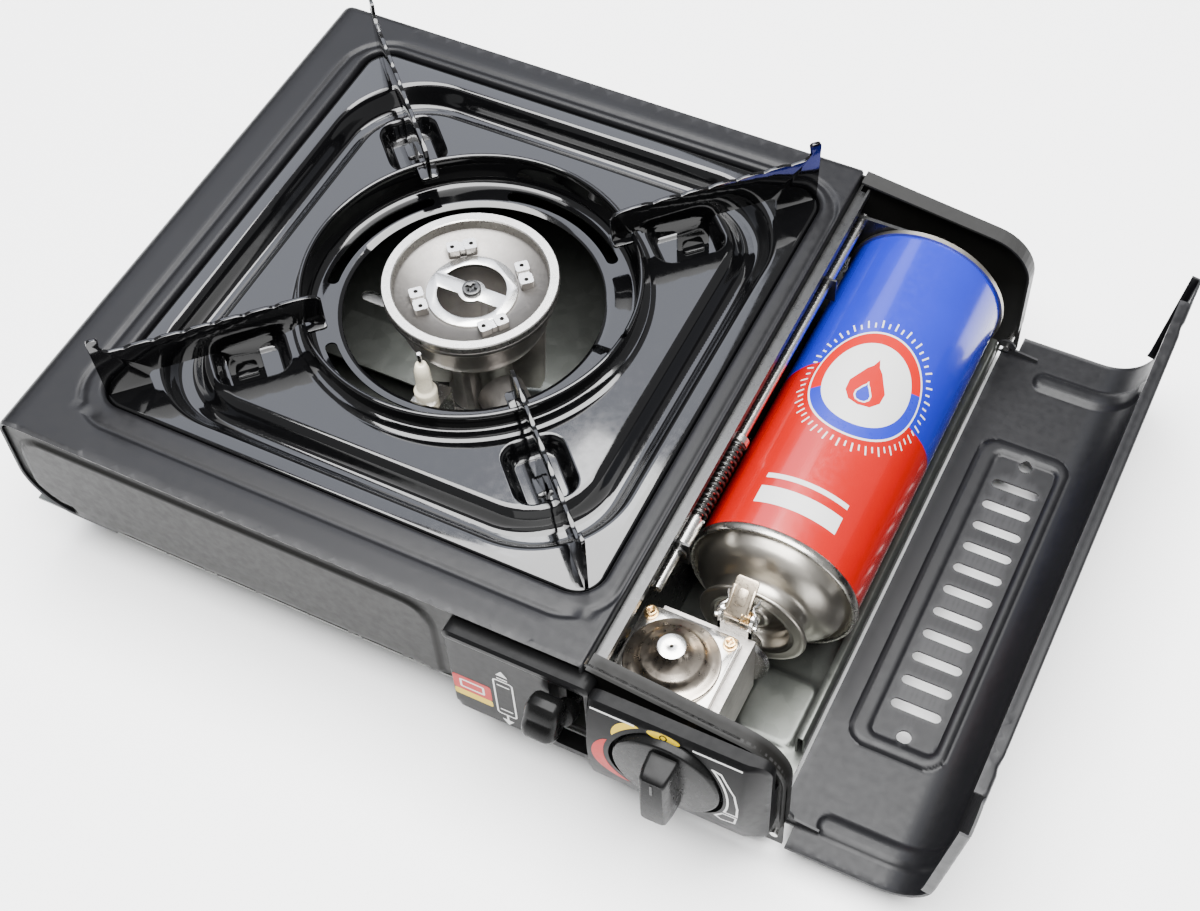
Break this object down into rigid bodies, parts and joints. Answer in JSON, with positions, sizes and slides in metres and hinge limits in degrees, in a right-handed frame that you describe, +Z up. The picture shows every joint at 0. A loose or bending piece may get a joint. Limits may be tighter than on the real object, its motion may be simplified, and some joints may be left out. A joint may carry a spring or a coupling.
{
  "type": "cassette stove",
  "caption": "Portable gas stove with a square drip pan, windshield ring and pan supports round a burner, and a side bay with lid, regulator and cartridge.",
  "frame": {"origin": "middle of the bounding box on the table, lid open as pictured", "axes": "+X towards the open lid, +Y towards the back, away from the dial, +Z up"},
  "size_m": [0.3948, 0.2834, 0.1136],
  "materials": {
    "casing_paint": "dark grey satin paint",
    "plate_paint": "dark grey satin paint",
    "enamel": "glossy black enamel",
    "galvanized": "galvanized, dull",
    "black_steel": "black coated steel",
    "panel_plastic": "black moulded plastic",
    "knob_plastic": "black moulded plastic, slight sheen",
    "rubber": "black rubber",
    "cast_alloy": "rough sand-cast alloy",
    "burner_alloy": "turned cast alloy",
    "steel": "bright zinc-plated steel",
    "dark_steel": "blackened steel",
    "brass": "brass",
    "copper_tab": "copper-coloured plated strip",
    "nickel": "nickel-plated, polished",
    "ceramic": "glazed cream ceramic",
    "lead_cover": "black insulated cable",
    "can_paint": "glossy printed lacquer, blue and red",
    "can_steel": "tinplate, satin",
    "valve_plastic": "white acetal"
  },
  "bodies": {
    "stove": {"casing": "casing_paint", "front_plate": "plate_paint", "back_plate": "plate_paint", "base_tray": "galvanized", "bay_divider": "black_steel", "bay_floor": "galvanized", "bay_rivets": "galvanized", "feet": "rubber", "tray_screws": "steel", "control_panel": "panel_plastic", "hinge_pins": "steel", "burner_bracket": "galvanized", "burner_body": "cast_alloy", "mixing_tube": "cast_alloy", "burner_head": "burner_alloy", "burner_bar": "steel", "burner_screw": "dark_steel", "jet_nozzle": "brass", "electrode_bracket": "steel", "electrode_ceramic": "ceramic", "electrode_pin": "steel", "ignition_lead": "lead_cover", "piezo_unit": "panel_plastic", "regulator_body": "cast_alloy", "regulator_diaphragm": "rubber", "regulator_spring": "steel", "regulator_plate": "nickel", "regulator_cap": "nickel", "regulator_screws": "brass", "gas_inlet": "steel", "inlet_seal": "rubber", "latch_bracket": "steel", "latch_pin": "steel", "latch_spring": "brass", "lever_pivot": "steel", "rod_sleeve": "steel", "pusher_spring": "dark_steel"},
    "lid": {"lid": "casing_paint"},
    "pan": {"drip_pan": "enamel", "windshield_ring": "enamel", "pan_support_1": "enamel", "pan_support_2": "enamel", "pan_support_3": "enamel", "pan_support_4": "enamel"},
    "dial": {"knob": "knob_plastic", "knob_spindle": "brass"},
    "lever": {"lock_lever": "steel", "lever_knob": "knob_plastic"},
    "pusher": {"pusher_rod": "steel", "rod_clip": "dark_steel", "rod_collar": "steel", "pusher_plate": "black_steel"},
    "can": {"can_body": "can_paint", "can_dome": "can_steel", "can_base": "can_steel", "can_cup": "can_steel", "can_valve": "valve_plastic"},
    "latch": {"latch_tab": "copper_tab"}
  },
  "joints": [
    {"name": "lid_hinge", "type": "hinge", "parent": "stove", "child": "lid", "pos_m": [0.12961, 0.01075, 0.016], "axis": [0, 1, 0], "range_deg": [-90, 0]},
    {"name": "pan_lift", "type": "slide", "parent": "stove", "child": "pan", "axis": [0, 0, 1], "range_m": [0, 0.06]},
    {"name": "dial_turn", "type": "hinge", "parent": "stove", "child": "dial", "pos_m": [0.09261, -0.11875, 0.053], "axis": [0, -1, 0], "range_deg": [0, 120]},
    {"name": "lever_pivot_hinge", "type": "hinge", "parent": "stove", "child": "lever", "pos_m": [0.05111, -0.10375, 0.048], "axis": [1, 0, 0], "range_deg": [0, 50]},
    {"name": "pusher_slide", "type": "slide", "parent": "stove", "child": "pusher", "axis": [0, -1, 0], "range_m": [0, 0.008], "stiffness_N_per_m": 2, "springref_m": -0.01, "deforming": ["pusher_spring"]},
    {"name": "can_lift", "type": "slide", "parent": "pusher", "child": "can", "axis": [0.4226, 0, 0.9063], "range_m": [0, 0.09]},
    {"name": "latch_hinge", "type": "hinge", "parent": "stove", "child": "latch", "pos_m": [0.09211, -0.06825, 0.068], "axis": [1, 0, 0], "range_deg": [0, 10], "stiffness_Nm_per_rad": 0.02, "springref_deg": -11.46}
  ],
  "couplings": [
    {"joint": "lever_pivot_hinge", "follows": "pusher_slide", "rad_per_m": 109.08}
  ]
}
